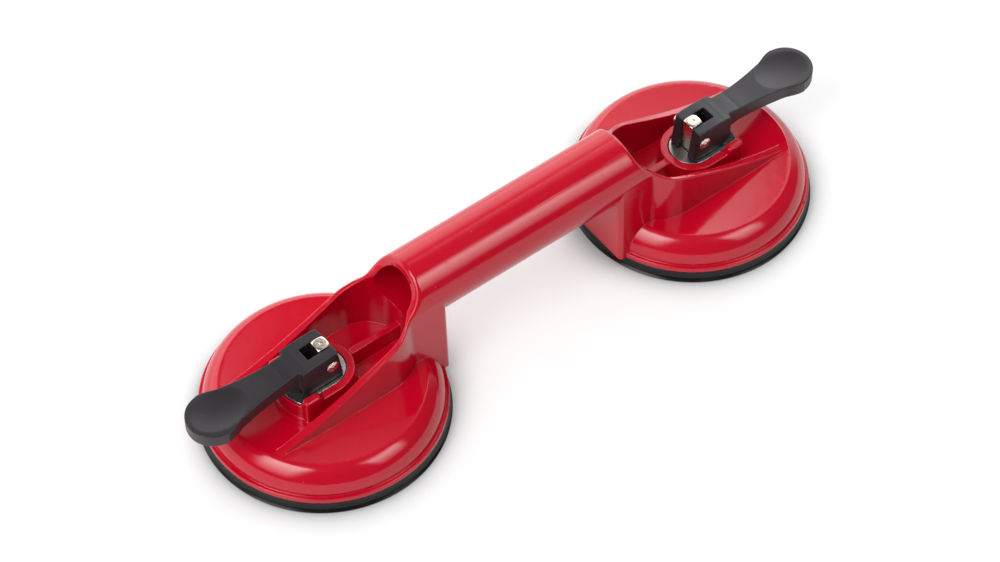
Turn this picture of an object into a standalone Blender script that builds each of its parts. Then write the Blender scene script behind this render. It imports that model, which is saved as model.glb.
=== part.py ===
"""Two-cup vacuum lifter: one moulded body that joins two suction cups by a tubular grip.

Each cup has a rubber pad, a steel backing plate with a square stud, a wear washer,
and a cam lever hinged on a pin through the stud. Modelled with both levers folded
down (clamped). Dimensions are in millimetres and are scaled to metres as the meshes
are made. X runs along the grip, Z is up, the pads stand on Z = 0.

Cup coordinates: u is the distance outward from the cup's axis along X, y is across.
"""

import math

import bmesh
import bpy

MM = 0.001

# Layout
CUP_X = 110.0
GAP = 0.3
OVERRUN = 4.0

# Rubber pad
PAD_R = 60.0
PAD_TOP = 5.9
PAD_SIDE_R = 58.3
PAD_FLAT_R = 52.0
PAD_CENTRE_BOTTOM = 5.6
PAD_CENTRE_TOP = 8.3

# Steel backing plate under each stud
PLATE_R = 24.0
PLATE_T = 2.0
PLATE_Z = PAD_CENTRE_TOP + GAP
SPIGOT_R = 2.6

# Cap of the moulded body
RIM_R = 58.6
RIM_Z = 6.2
STEP_Z = 9.2
SHOULDER_R = 56.8
CREASE_R = 48.5
SHOULDER_CENTRE = (46.5, 9.3)
SHOULDER_AXES = (10.3, 13.2)
DISH_R = 26.0
DISH_Z = 21.6
WALL = 3.0
GUIDE_R = 9.0
GUIDE_Z = 11.6
STEP_FILLET = 0.4
RIM_CHAMFER = (0.5, 0.6)
PAD_CLEAR_R = 53.4
PAD_CLEAR_Z = 9.0

# Neck under each end of the grip
NECK_INNER_U = -59.0
NECK_OUTER_U = -36.0
NECK_HALF = (19.9, 17.3)
NECK_Z = (6.5, 52.0)
NECK_CORNER = 4.0
CORE_U = (-55.4, -47.4)
CORE_HALF = 15.6
CORE_TOP = 36.8

# Grip tube
TUBE_R = 17.5
BORE_R = 13.0
TUBE_Z = 53.5
TUBE_END_X = 75.0
BORE_END_X = 90.0

# Trough between the grip's mouth and the lever
TROUGH_END_U = -24.0
TROUGH_HALF = (19.4, 20.6)
CHEEK_HALF = (24.2, 21.1)
CHEEK_END_U = 44.0
SHELL_Z = 20.4
CLEAR_Z = 74.0
MOUTH_CURVE = ((-47.0, 70.0), (-47.0, 62.0), (-40.0, 54.5), (-30.0, 48.2))
CHEEK_CURVE = ((-30.0, 48.2), (-10.0, 39.5), (10.0, 28.0), (46.0, 20.7))
SWEEP_END_U = 60.0
SWEEP_HALF = 40.0

# Pedestal, washer and stops
BOSS_R = 15.4
BOSS_END_R = 22.9
BOSS_DRAFT = 0.4
BOSS_TOP = 31.5
SEAT_END_R = 30.0
WASHER_R = 11.0
WASHER_END_R = 22.3
WASHER_TOP = 31.0
WASHER_T = 1.2
STOP_U = (9.6, 19.6)
STOP_Y = (11.6, 15.8)
STOP_TOP = 35.0
STOP_CORNER = 2.0
RIB_U = (-46.0, -13.0)
RIB_HALF = 2.0
RIB_TOP = 31.0

# Stud and pin
STUD_HALF = 3.4
STUD_TOP = 50.0
STUD_CHAMFER = 1.6
PIN_Z = 42.0
PIN_R = 2.5
PIN_HEAD_R = 3.2
PIN_HEAD_H = 1.0

# Lever, measured from the pin
LEVER_HALF = 9.0
LEVER_ARM_HALF = 6.8
LEVER_SHOULDER_U = (16.0, 18.5)
SLOT_HALF = 3.75
SLOT_END_U = 9.8
PADDLE_U = 60.3
PADDLE_R = 13.0
PADDLE_TANGENT = math.radians(115.0)
FLARE_U = 32.0
FLARE_PULL = 11.0
LEVER_BLOCK = (-12.0, -16.0, 12.0)
CAM_REST = PIN_Z - WASHER_TOP - GAP
CAM_TRAVEL = 4.6
LEVER_TOP = ((-3.5, 7.4), (14.0, 7.2), (24.0, 5.4), (76.0, 4.6))
LEVER_UNDER = ((76.0, -3.4), (25.0, -3.4), (20.5, -4.6), (16.5, -8.6), (13.5, -CAM_REST))
CAM_STEPS = 14

TURN_STEPS = 60
ARC_STEPS = 14


def clear_scene():
    for obj in list(bpy.data.objects):
        bpy.data.objects.remove(obj, do_unlink=True)


def material(name, colour, roughness, metallic=0.0):
    mat = bpy.data.materials.new(name)
    mat.use_nodes = True
    shader = mat.node_tree.nodes["Principled BSDF"]
    shader.inputs["Base Color"].default_value = (*colour, 1.0)
    shader.inputs["Roughness"].default_value = roughness
    shader.inputs["Metallic"].default_value = metallic
    return mat


def add_object(name, points, faces, mat=None, origin=(0.0, 0.0, 0.0)):
    """Make a closed mesh object from points in millimetres."""
    mesh = bpy.data.meshes.new(name)
    mesh.from_pydata([tuple(c * MM for c in p) for p in points], [], faces)
    bm = bmesh.new()
    bm.from_mesh(mesh)
    bmesh.ops.recalc_face_normals(bm, faces=bm.faces)
    bm.to_mesh(mesh)
    bm.free()
    mesh.shade_smooth()
    mesh.set_sharp_from_angle(angle=math.radians(35))
    obj = bpy.data.objects.new(name, mesh)
    obj.location = tuple(c * MM for c in origin)
    bpy.context.scene.collection.objects.link(obj)
    if mat:
        mesh.materials.append(mat)
    return obj


def loft(name, lower, upper, z0, z1, mat=None, origin=(0.0, 0.0, 0.0)):
    """Join two plan outlines of equal length into a closed prism."""
    count = len(lower)
    points = [(x, y, z0) for x, y in lower] + [(x, y, z1) for x, y in upper]
    faces = [tuple(range(count)), tuple(range(count, 2 * count))]
    for i in range(count):
        j = (i + 1) % count
        faces.append((i, j, count + j, count + i))
    return add_object(name, points, faces, mat, origin)


def side_prism(name, outline, half):
    """Extrude an outline in the XZ plane to both sides of Y = 0."""
    count = len(outline)
    points = [(x, -half, z) for x, z in outline] + [(x, half, z) for x, z in outline]
    faces = [tuple(range(count)), tuple(range(count, 2 * count))]
    for i in range(count):
        j = (i + 1) % count
        faces.append((i, j, count + j, count + i))
    return add_object(name, points, faces)


def turned(name, profile, mat=None, origin=(0.0, 0.0, 0.0), steps=TURN_STEPS):
    """Turn a closed (radius, z) profile about Z; points on the axis become poles."""
    points = []
    rings = []
    for radius, z in profile:
        if radius == 0.0:
            rings.append([len(points)] * steps)
            points.append((0.0, 0.0, z))
            continue
        rings.append([len(points) + i for i in range(steps)])
        for i in range(steps):
            angle = 2.0 * math.pi * i / steps
            points.append((radius * math.cos(angle), radius * math.sin(angle), z))
    faces = []
    for ring, after in zip(rings, rings[1:] + rings[:1]):
        if ring[0] == ring[1] and after[0] == after[1]:
            continue
        for i in range(steps):
            j = (i + 1) % steps
            corners = [ring[i], ring[j], after[j], after[i]]
            faces.append(tuple(dict.fromkeys(corners)))
    return add_object(name, points, faces, mat, origin)


def arc(centre, radius, start, end, steps=ARC_STEPS):
    """Points on an arc, angles in degrees, both ends included."""
    points = []
    for i in range(steps + 1):
        angle = math.radians(start + (end - start) * i / steps)
        points.append((centre[0] + radius * math.cos(angle), centre[1] + radius * math.sin(angle)))
    return points


def bezier(control, steps):
    """Points on a cubic curve, both ends included."""
    points = []
    for i in range(steps + 1):
        t = i / steps
        weights = ((1 - t) ** 3, 3 * t * (1 - t) ** 2, 3 * t * t * (1 - t), t ** 3)
        points.append(tuple(sum(w * p[k] for w, p in zip(weights, control)) for k in (0, 1)))
    return points


def shifted(outline, x):
    return [(u + x, y) for u, y in outline]


def boolean(target, tool, operation):
    modifier = target.modifiers.new(tool.name, "BOOLEAN")
    modifier.operation = operation
    modifier.solver = "EXACT"
    modifier.object = tool
    tool.hide_render = True
    tool.display_type = "WIRE"


def cylinder_along(name, radius, half_length, axis, origin, steps=48):
    tool = turned(name, ((0.0, -half_length), (radius, -half_length), (radius, half_length),
                         (0.0, half_length)), origin=origin, steps=steps)
    tool.rotation_euler = (0.0, math.pi / 2, 0.0) if axis == "X" else (math.pi / 2, 0.0, 0.0)
    return tool


def cap_profile():
    """Outer skin from the centre to the rim, then back along the hollow underside."""
    (centre_r, centre_z), (half_r, half_z) = SHOULDER_CENTRE, SHOULDER_AXES
    top_angle = math.degrees(math.acos((CREASE_R - centre_r) / half_r))
    profile = [(0.0, DISH_Z), (DISH_R, DISH_Z)]
    for c, s in arc((0.0, 0.0), 1.0, top_angle, 3.0, 7):
        profile.append((centre_r + half_r * c, centre_z + half_z * s))
    profile += [(SHOULDER_R, STEP_Z + STEP_FILLET), (RIM_R - RIM_CHAMFER[0], STEP_Z),
                (RIM_R, STEP_Z - RIM_CHAMFER[1]), (RIM_R, RIM_Z)]
    inner_r = half_r - WALL
    inner_z = half_z - WALL
    for c, s in arc((0.0, 0.0), 1.0, 0.0, 80.0, 5):
        profile.append((centre_r + inner_r * c, centre_z + inner_z * s))
    profile.insert(-6, (centre_r + inner_r, RIM_Z))
    profile += [(DISH_R, DISH_Z - WALL), (GUIDE_R, DISH_Z - WALL), (GUIDE_R, GUIDE_Z), (0.0, GUIDE_Z)]
    return profile


def neck_outline(half):
    """Rounded at the two corners that face the middle of the grip."""
    inner = NECK_INNER_U + NECK_CORNER
    side = half - NECK_CORNER
    return ([(NECK_OUTER_U, -half)] + arc((inner, -side), NECK_CORNER, -90.0, -180.0, 5)
            + arc((inner, side), NECK_CORNER, 180.0, 90.0, 5) + [(NECK_OUTER_U, half)])


def trough_outline(half, end_u):
    """Parallel sides closed by a half circle towards the grip."""
    return ([(end_u, -half)] + arc((TROUGH_END_U, 0.0), half, -90.0, -270.0, 2 * ARC_STEPS)
            + [(end_u, half)])


def pedestal_outline(radius, end_radius):
    """Half circle towards the grip, straight sides, wide arc at the outward end."""
    end_angle = math.degrees(math.asin(radius / end_radius))
    return (arc((0.0, 0.0), radius, 90.0, 270.0) + arc((0.0, 0.0), end_radius, -end_angle, end_angle, 8))


def make_neck():
    """Neck, end of the grip and walls of the trough, on the +X cup."""
    neck = loft("neck_block", shifted(neck_outline(NECK_HALF[0]), CUP_X),
                shifted(neck_outline(NECK_HALF[1]), CUP_X), *NECK_Z)
    cheeks = loft("cheek_block", shifted(trough_outline(CHEEK_HALF[0], CHEEK_END_U), CUP_X),
                  shifted(trough_outline(CHEEK_HALF[1], CHEEK_END_U), CUP_X), SHELL_Z, CLEAR_Z - OVERRUN)
    boolean(neck, cheeks, "UNION")
    boolean(neck, tube_tool("grip_tube", TUBE_R, TUBE_END_X), "UNION")

    curve = bezier(MOUTH_CURVE, 8) + bezier(CHEEK_CURVE, 10)[1:]
    sweep = ([(MOUTH_CURVE[0][0], CLEAR_Z + OVERRUN)] + curve
             + [(SWEEP_END_U, CHEEK_CURVE[-1][1]), (SWEEP_END_U, CLEAR_Z + OVERRUN)])
    boolean(neck, side_prism("mouth_cutter", shifted(sweep, CUP_X), SWEEP_HALF), "DIFFERENCE")
    trough = loft("trough_cutter", shifted(trough_outline(TROUGH_HALF[0], SWEEP_END_U), CUP_X),
                  shifted(trough_outline(TROUGH_HALF[1], SWEEP_END_U), CUP_X), RIM_Z - OVERRUN, CLEAR_Z)
    boolean(neck, trough, "DIFFERENCE")
    low = RIM_Z - OVERRUN
    clearance = turned("pad_clearance", ((0.0, low), (PAD_CLEAR_R, low), (PAD_CLEAR_R, PAD_CLEAR_Z),
                                         (0.0, PAD_CLEAR_Z)), origin=(CUP_X, 0.0, 0.0))
    boolean(neck, clearance, "DIFFERENCE")
    return neck


def make_pedestal():
    """Raised seat of the wear washer, with the rib along the floor of the trough."""
    pedestal = loft("pedestal", shifted(pedestal_outline(BOSS_R + BOSS_DRAFT, BOSS_END_R + BOSS_DRAFT), CUP_X),
                    shifted(pedestal_outline(BOSS_R, BOSS_END_R), CUP_X), SHELL_Z - BOSS_DRAFT, BOSS_TOP)
    seat = shifted(pedestal_outline(WASHER_R + GAP, SEAT_END_R), CUP_X)
    seat_z = WASHER_TOP - WASHER_T - GAP
    boolean(pedestal, loft("washer_seat", seat, seat, seat_z, BOSS_TOP + OVERRUN), "DIFFERENCE")
    low = SHELL_Z + 0.5 * BOSS_DRAFT
    rib = [(RIB_U[0], low), (RIB_U[1], low), (RIB_U[1], RIB_TOP), (RIB_U[0], RIB_TOP)]
    boolean(pedestal, side_prism("trough_rib", shifted(rib, CUP_X), RIB_HALF), "UNION")
    return pedestal


def make_body(mat):
    """One half is built on the +X cup, then mirrored about the middle of the grip."""
    body = turned("body_housing", cap_profile(), mat, origin=(CUP_X, 0.0, 0.0))
    move_mesh(body)
    boolean(body, make_neck(), "UNION")
    boolean(body, make_pedestal(), "UNION")
    for side in (-1, 1):
        stop = shifted(stop_outline(side), CUP_X)
        boolean(body, loft(f"stop_{side}", stop, stop, SHELL_Z + BOSS_DRAFT, STOP_TOP), "UNION")

    boolean(body, tube_tool("grip_bore", BORE_R, BORE_END_X), "DIFFERENCE")
    core = [(CORE_U[0], -CORE_HALF), (CORE_U[0], CORE_HALF), (CORE_U[1], CORE_HALF), (CORE_U[1], -CORE_HALF)]
    boolean(body, loft("neck_core", shifted(core, CUP_X), shifted(core, CUP_X), RIM_Z - OVERRUN, CORE_TOP),
            "DIFFERENCE")
    hole = shifted(square(STUD_HALF + GAP), CUP_X)
    boolean(body, loft("stud_hole", hole, hole, GUIDE_Z - OVERRUN, CLEAR_Z), "DIFFERENCE")

    mirror = body.modifiers.new("both_cups", "MIRROR")
    mirror.use_axis = (True, False, False)
    mirror.use_bisect_axis = (True, False, False)
    mirror.use_clip = True
    mirror.merge_threshold = 0.05 * MM
    return body


def tube_tool(name, radius, end_x):
    """Round bar along the grip, from just past the mirror plane to end_x."""
    half = 0.5 * (end_x + OVERRUN)
    return cylinder_along(name, radius, half, "X", (end_x - half, 0.0, TUBE_Z))


def move_mesh(obj):
    """Give the mesh world coordinates, so that the object's origin is the model's."""
    obj.data.transform(obj.matrix_basis)
    obj.location = (0.0, 0.0, 0.0)


def stop_outline(side):
    """Block beside the lever; its outward outer corner is rounded."""
    (u0, u1), (y0, y1) = STOP_U, STOP_Y
    corner = arc((u1 - STOP_CORNER, y1 - STOP_CORNER), STOP_CORNER, 0.0, 90.0, 4)
    outline = [(u0, y0), (u1, y0)] + corner + [(u0, y1)]
    return [(u, side * y) for u, y in outline]


def square(half):
    return [(-half, -half), (half, -half), (half, half), (-half, half)]


def pad_profile():
    return ((0.0, PAD_CENTRE_BOTTOM), (PLATE_R - 2.0, PAD_CENTRE_BOTTOM - 0.3), (47.0, 1.1),
            (PAD_FLAT_R, 0.0), (PAD_R, 0.0), (PAD_R, 0.7), (PAD_SIDE_R + 0.2, 2.6),
            (PAD_SIDE_R, 3.2), (PAD_SIDE_R, PAD_TOP), (48.0, PAD_TOP - 0.2),
            (PLATE_R + 2.0, PAD_CENTRE_TOP), (0.0, PAD_CENTRE_TOP))


def make_plate(name, x, mat):
    top = PLATE_Z + PLATE_T
    hole = SPIGOT_R + GAP
    profile = ((hole, PLATE_Z), (PLATE_R - 0.4, PLATE_Z), (PLATE_R, PLATE_Z + 0.5), (PLATE_R, top), (hole, top))
    return turned(name, profile, mat, origin=(x, 0.0, 0.0), steps=48)


def make_stud(name, x, mat):
    """Square bar with a turned chamfer on top and a round spigot into the plate."""
    low = PLATE_Z + PLATE_T + GAP
    bar = square(STUD_HALF)
    stud = loft(name, bar, bar, low, STUD_TOP, mat, origin=(x, 0.0, 0.0))
    clear = STUD_HALF * math.sqrt(2.0) + 1.0
    cone = turned(f"{name}_top_turning",
                  ((0.0, low - OVERRUN), (clear, low - OVERRUN), (clear, STUD_TOP - STUD_CHAMFER - 0.5),
                   (STUD_HALF - 0.4, STUD_TOP + GAP), (0.0, STUD_TOP + GAP)),
                  origin=(x, 0.0, 0.0), steps=32)
    boolean(stud, cone, "INTERSECT")
    spigot_low = PLATE_Z + 0.1
    spigot = turned(f"{name}_spigot", ((0.0, spigot_low), (SPIGOT_R, spigot_low), (SPIGOT_R, low + 1.0),
                                       (0.0, low + 1.0)), origin=(x, 0.0, 0.0), steps=24)
    boolean(stud, spigot, "UNION")
    eye = cylinder_along(f"{name}_eye", PIN_R + GAP, STUD_HALF + OVERRUN, "Y", (x, 0.0, PIN_Z), 24)
    boolean(stud, eye, "DIFFERENCE")
    return stud


def make_washer(name, x, facing, mat):
    outline = [(facing * u, y) for u, y in pedestal_outline(WASHER_R, WASHER_END_R)]
    washer = loft(name, outline, outline, WASHER_TOP - WASHER_T, WASHER_TOP, mat, origin=(x, 0.0, 0.0))
    hole = square(STUD_HALF + GAP)
    boolean(washer, loft(f"{name}_hole", hole, hole, WASHER_TOP - OVERRUN, WASHER_TOP + OVERRUN,
                         origin=(x, 0.0, 0.0)), "DIFFERENCE")
    return washer


def make_pin(name, x, mat):
    """Plain shank with a low domed head at each end, lying along Y."""
    reach = LEVER_HALF + GAP
    head = [(PIN_HEAD_R, reach), (PIN_HEAD_R, reach + 0.5 * PIN_HEAD_H),
            (0.6 * PIN_HEAD_R, reach + PIN_HEAD_H), (0.0, reach + PIN_HEAD_H)]
    shank = [(PIN_R, -reach), (PIN_R, reach)]
    profile = [(r, -z) for r, z in reversed(head)] + shank + head
    pin = turned(name, profile, mat, origin=(x, 0.0, PIN_Z), steps=24)
    pin.rotation_euler = (math.pi / 2, 0.0, 0.0)
    return pin


def cam_curve():
    """Foot of the lever: its reach below the pin falls evenly as the lever is lifted."""
    slope = -CAM_TRAVEL / (math.pi / 2)
    points = []
    for i in range(CAM_STEPS + 1):
        angle = (math.pi / 2) * i / CAM_STEPS
        reach = CAM_REST + slope * angle
        points.append((-reach * math.sin(angle) - slope * math.cos(angle),
                       -reach * math.cos(angle) + slope * math.sin(angle)))
    return points


def lever_plan():
    """Square head, waisted arm and round thumb paddle."""
    tangent = (math.sin(PADDLE_TANGENT), -math.cos(PADDLE_TANGENT))
    join = (PADDLE_U + PADDLE_R * math.cos(PADDLE_TANGENT), PADDLE_R * math.sin(PADDLE_TANGENT))
    flare = bezier(((LEVER_SHOULDER_U[1], LEVER_ARM_HALF), (FLARE_U, LEVER_ARM_HALF),
                    (join[0] - FLARE_PULL * tangent[0], join[1] - FLARE_PULL * tangent[1]), join), 8)
    start = math.degrees(PADDLE_TANGENT)
    upper = ([(LEVER_BLOCK[0], LEVER_HALF), (LEVER_SHOULDER_U[0], LEVER_HALF)] + flare
             + arc((PADDLE_U, 0.0), PADDLE_R, start, 0.0, 12)[1:])
    return upper + [(u, -y) for u, y in reversed(upper[:-1])]


def make_lever(name, x, facing, mat):
    back, low, high = LEVER_BLOCK
    lever = loft(name, lever_plan(), lever_plan(), low, high, mat, origin=(x, 0.0, PIN_Z))
    side = list(LEVER_TOP) + list(LEVER_UNDER) + cam_curve()
    tools = [(side_prism(f"{name}_side", side, PADDLE_R + OVERRUN), "INTERSECT")]
    start = back - OVERRUN
    slot = [(start, -SLOT_HALF), (SLOT_END_U, -SLOT_HALF), (SLOT_END_U, SLOT_HALF), (start, SLOT_HALF)]
    tools.append((loft(f"{name}_slot", slot, slot, low - OVERRUN, high + OVERRUN), "DIFFERENCE"))
    eye = cylinder_along(f"{name}_eye", PIN_R + GAP, LEVER_HALF + OVERRUN, "Y", (0.0, 0.0, 0.0), 24)
    tools.append((eye, "DIFFERENCE"))
    for tool, operation in tools:
        tool.parent = lever
        boolean(lever, tool, operation)
    if facing < 0:
        lever.rotation_euler = (0.0, 0.0, math.pi)
    return lever


def main():
    clear_scene()
    red = material("red_plastic", (0.55, 0.0, 0.012), 0.25)
    rubber = material("black_rubber", (0.02, 0.02, 0.022), 0.55)
    black = material("black_plastic", (0.035, 0.034, 0.036), 0.45)
    zinc = material("zinc_steel", (0.62, 0.61, 0.58), 0.35, 1.0)
    nickel = material("nickel_steel", (0.78, 0.74, 0.68), 0.22, 1.0)

    make_body(red)
    for label, facing in (("left", -1), ("right", 1)):
        x = facing * CUP_X
        turned(f"rubber_pad_{label}", pad_profile(), rubber, origin=(x, 0.0, 0.0))
        make_plate(f"backing_plate_{label}", x, zinc)
        make_stud(f"square_stud_{label}", x, nickel)
        make_washer(f"wear_washer_{label}", x, facing, zinc)
        make_pin(f"hinge_pin_{label}", x, nickel)
        make_lever(f"lever_{label}", x, facing, black)


main()
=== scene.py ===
"""Looks of the two-cup vacuum lifter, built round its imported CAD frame.

Shapes are in millimetres. The moulded pieces are implicit surfaces: a function gives
the distance from a point to the surface, a net is laid on it, and the net is made
finer where the surface bends. Cup coordinates: u is the distance outward from a cup's
axis along X, y is across, z is up, r is the distance from the cup's axis. Lever
coordinates: a is outward from the hinge pin, b is across, c is up.
"""

import math
from itertools import product

import bmesh
import bpy
import numpy as np
from mathutils import Matrix, Vector


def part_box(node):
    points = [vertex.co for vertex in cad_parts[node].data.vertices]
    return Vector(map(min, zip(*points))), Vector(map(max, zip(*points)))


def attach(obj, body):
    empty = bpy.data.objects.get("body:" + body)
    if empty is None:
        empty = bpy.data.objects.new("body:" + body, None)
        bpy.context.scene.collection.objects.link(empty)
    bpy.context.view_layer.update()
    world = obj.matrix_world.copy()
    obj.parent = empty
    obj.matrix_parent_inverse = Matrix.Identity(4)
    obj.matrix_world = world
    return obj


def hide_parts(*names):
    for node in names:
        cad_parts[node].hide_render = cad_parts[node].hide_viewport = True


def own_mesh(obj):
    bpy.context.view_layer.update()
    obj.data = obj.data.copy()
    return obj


MM = 0.001
SIDES = (("left", -1.0), ("right", 1.0))

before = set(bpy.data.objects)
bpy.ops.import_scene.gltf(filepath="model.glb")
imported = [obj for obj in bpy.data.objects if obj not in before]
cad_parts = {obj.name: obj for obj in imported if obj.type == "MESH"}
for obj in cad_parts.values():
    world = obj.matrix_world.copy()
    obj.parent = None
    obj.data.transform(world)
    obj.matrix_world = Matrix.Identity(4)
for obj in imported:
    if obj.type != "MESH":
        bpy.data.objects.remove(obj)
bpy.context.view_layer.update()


def extent(node, axis):
    """Lowest and highest coordinate of a CAD node along one axis, in millimetres."""
    low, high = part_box(node)
    return low[axis] / MM, high[axis] / MM


# Clearance between pieces, and the outer radius of the grip
GAP = 0.3
TUBE_R = 17.5

# Sizes read from the frame
CUP_X = sum(extent("square_stud_right", 0)) / 2
STUD_HALF = (extent("square_stud_right", 1)[1] - extent("square_stud_right", 1)[0]) / 2
STUD_TOP = extent("square_stud_right", 2)[1]
STUD_LOW = extent("backing_plate_right", 2)[1] + GAP
PLATE_LOW = extent("backing_plate_right", 2)[0]
PLATE_R = extent("backing_plate_right", 1)[1]
PIN_Z = sum(extent("hinge_pin_right", 2)) / 2
WASHER_LOW, WASHER_TOP = extent("wear_washer_right", 2)
WASHER_R = extent("wear_washer_right", 1)[1]
WASHER_END_R = extent("wear_washer_right", 0)[1] - CUP_X
PAD_R = extent("rubber_pad_right", 1)[1]
RIM_R = extent("body_housing", 1)[1]
RIM_Z = extent("body_housing", 2)[0]
TUBE_Z = extent("body_housing", 2)[1] - TUBE_R

# Cap of the body
STEP_Z = RIM_Z + 3.0
RIM_EDGE = 0.6
STEP_FILLET = 0.5
CREASE_R = 48.5
CREASE_Z = 22.3
CREASE_EDGE = 0.2
SHOULDER_CENTRE = (43.5, 9.3)
SHOULDER_AXES = (13.3, 14.03)
DISH_R = 20.0
DISH_DEPTH = 1.4
DISH_POWER = 1.7
DISH_LIMIT = 1.3
WALL = 3.0
GUIDE_R = 9.0
GUIDE_Z = 11.6

# Neck, grip and trough
NECK_INNER_U = -59.0
NECK_OUTER_U = -36.0
NECK_HALF = 19.8
NECK_CORNER = 2.2
BORE_R = 13.0
TROUGH_END_U = -24.0
TROUGH_HALF = (19.4, 20.6)
TROUGH_EDGE = 0.5
CHEEK_HALF = (24.2, 21.1)
CHEEK_Z = (20.4, 70.0)
CHEEK_FOOT_Z = CHEEK_Z[0] - 2.0
CHEEK_END_U = 44.0
CHEEK_FILLET = 1.0
GRIP_FILLET = 0.3
MOUTH_CURVE = ((-47.0, 71.5), (-47.0, 62.0), (-40.0, 54.5), (-30.0, 48.2))
CHEEK_CURVE = ((-30.0, 48.2), (-10.0, 39.5), (10.0, 28.0), (46.0, 20.7))
MOUTH_EDGE = 1.9
CHEEK_EDGE_LESS = 1.2
EDGE_CHANGE_U = (-42.0, -30.0)
MOUTH_STEPS = 14
CHEEK_STEPS = 12
FAR = 90.0

# Pedestal, stops and rib
BOSS_R = 15.4
BOSS_END_R = 22.9
BOSS_TOP = 31.5
BOSS_DRAFT = 0.04
BOSS_CORNER = 1.0
BOSS_EDGE = 0.6
SEAT_EDGE = 0.5
STOP_U = (9.6, 19.6)
STOP_Y = (11.6, 15.8)
STOP_TOP = 35.0
STOP_SLANT = (0.9, 0.43)
STOP_CORNER = 1.6
STOP_EDGE = 1.1
STOP_FILLET = 0.5
RIB_U = (-46.0, -13.0)
RIB_HALF = 2.0
RIB_TOP = 31.0
RIB_EDGE = 0.6
RIB_FILLET = 0.6
PEDESTAL_FOOT_Z = SHOULDER_CENTRE[1] + WALL
PEDESTAL_FILLET = 0.7


# ---------------------------------------------------------------- implicit surfaces

ON_PLANE = 1e-6


def join(a, b, radius):
    """Union of two fields with a concave fillet where they meet."""
    return (np.maximum(radius, np.minimum(a, b))
            - np.hypot(np.maximum(radius - a, 0.0), np.maximum(radius - b, 0.0)))


def trim(a, b, radius):
    """Intersection of two fields with a rounded edge where they meet."""
    return (np.minimum(-radius, np.maximum(a, b))
            + np.hypot(np.maximum(a + radius, 0.0), np.maximum(b + radius, 0.0)))


def soft_union(a, b, width):
    """Union that flows together where the two surfaces nearly touch."""
    mix = np.maximum(width - np.abs(a - b), 0.0) / width
    return np.minimum(a, b) - 0.25 * width * mix * mix


def step(value, low, high):
    """Smooth rise from 0 at low to 1 at high."""
    t = np.clip((value - low) / (high - low), 0.0, 1.0)
    return t * t * (3.0 - 2.0 * t)


def bezier(control, count):
    """Points on a cubic curve, both ends included."""
    t = np.linspace(0.0, 1.0, count + 1)[:, None]
    c = [np.array(p) for p in control]
    return ((1 - t) ** 3 * c[0] + 3 * t * (1 - t) ** 2 * c[1]
            + 3 * t * t * (1 - t) * c[2] + t ** 3 * c[3])


def above_curve(u, z, points):
    """Signed distance to an open curve that runs downhill outward: negative behind and under it."""
    best = np.full(u.shape, 1e9)
    signed = np.zeros(u.shape)
    for (u0, z0), (u1, z1) in zip(points[:-1], points[1:]):
        du, dz = u1 - u0, z1 - z0
        t = np.clip(((u - u0) * du + (z - z0) * dz) / (du * du + dz * dz), 0.0, 1.0)
        distance = np.hypot(u - u0 - t * du, z - z0 - t * dz)
        side = du * (z - z0) - dz * (u - u0)
        nearer = distance < best
        best = np.where(nearer, distance, best)
        signed = np.where(nearer, np.where(side > 0.0, distance, -distance), signed)
    return signed


def line_field(a, c, start, end):
    """Signed distance to a line; positive on its left, going from start to end."""
    da, dc = end[0] - start[0], end[1] - start[1]
    return (da * (c - start[1]) - dc * (a - start[0])) / math.hypot(da, dc)


def gradient(field, points, reach=0.02):
    """Direction in which the field grows, by central differences."""
    columns = []
    for axis in range(3):
        offset = np.zeros(3)
        offset[axis] = reach
        columns.append(field(*(points + offset).T) - field(*(points - offset).T))
    return np.stack(columns, 1) / (2.0 * reach)


def unit(vectors):
    """Rows scaled to length 1."""
    return vectors / np.maximum(np.linalg.norm(vectors, axis=1, keepdims=True), 1e-12)


def on_mirror(points, mirror_axes):
    """True for each coordinate that keeps a point on a mirror plane."""
    locked = np.zeros(points.shape, bool)
    for axis in mirror_axes:
        locked[:, axis] = np.abs(points[:, axis]) < ON_PLANE
    return locked


def surface_normals(field, points, mirror_axes):
    """Unit normals; on a mirror plane they lie in it."""
    normals = gradient(field, points)
    normals[on_mirror(points, mirror_axes)] = 0.0
    return unit(normals)


def settle(field, points, reach, locked, rounds=4):
    """Move points onto the surface, but not along their locked coordinates."""
    for _ in range(rounds):
        slope = gradient(field, points)
        slope[locked] = 0.0
        value = field(*points.T)[:, None]
        move = value * slope / np.maximum((slope ** 2).sum(1, keepdims=True), 1e-6)
        points = points - np.clip(move, -reach, reach)
    return points


def cell_corner(array, dx, dy, dz):
    """What each cell of a grid has at one of its eight corners."""
    nx, ny, nz = (n - 1 for n in array.shape)
    return array[dx:dx + nx, dy:dy + ny, dz:dz + nz]


def crossing_points(value, mixed):
    """Mean of the places where a cell's edges cross the surface, counted in grid steps."""
    position = np.zeros((mixed.sum(), 3))
    weight = np.zeros(mixed.sum())
    for axis in range(3):
        others = [n for n in range(3) if n != axis]
        for p, q in product((0, 1), repeat=2):
            start = [0, 0, 0]
            start[others[0]], start[others[1]] = p, q
            end = list(start)
            end[axis] = 1
            a = cell_corner(value, *start)[mixed]
            b = cell_corner(value, *end)[mixed]
            crossed = (a < 0.0) != (b < 0.0)
            t = np.where(crossed, a / np.where(crossed, a - b, 1.0), 0.0)
            point = np.tile(np.array(start, float), (len(t), 1))
            point[:, axis] = t
            position += point * crossed[:, None]
            weight += crossed
    return np.argwhere(mixed) + position / weight[:, None]


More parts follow.
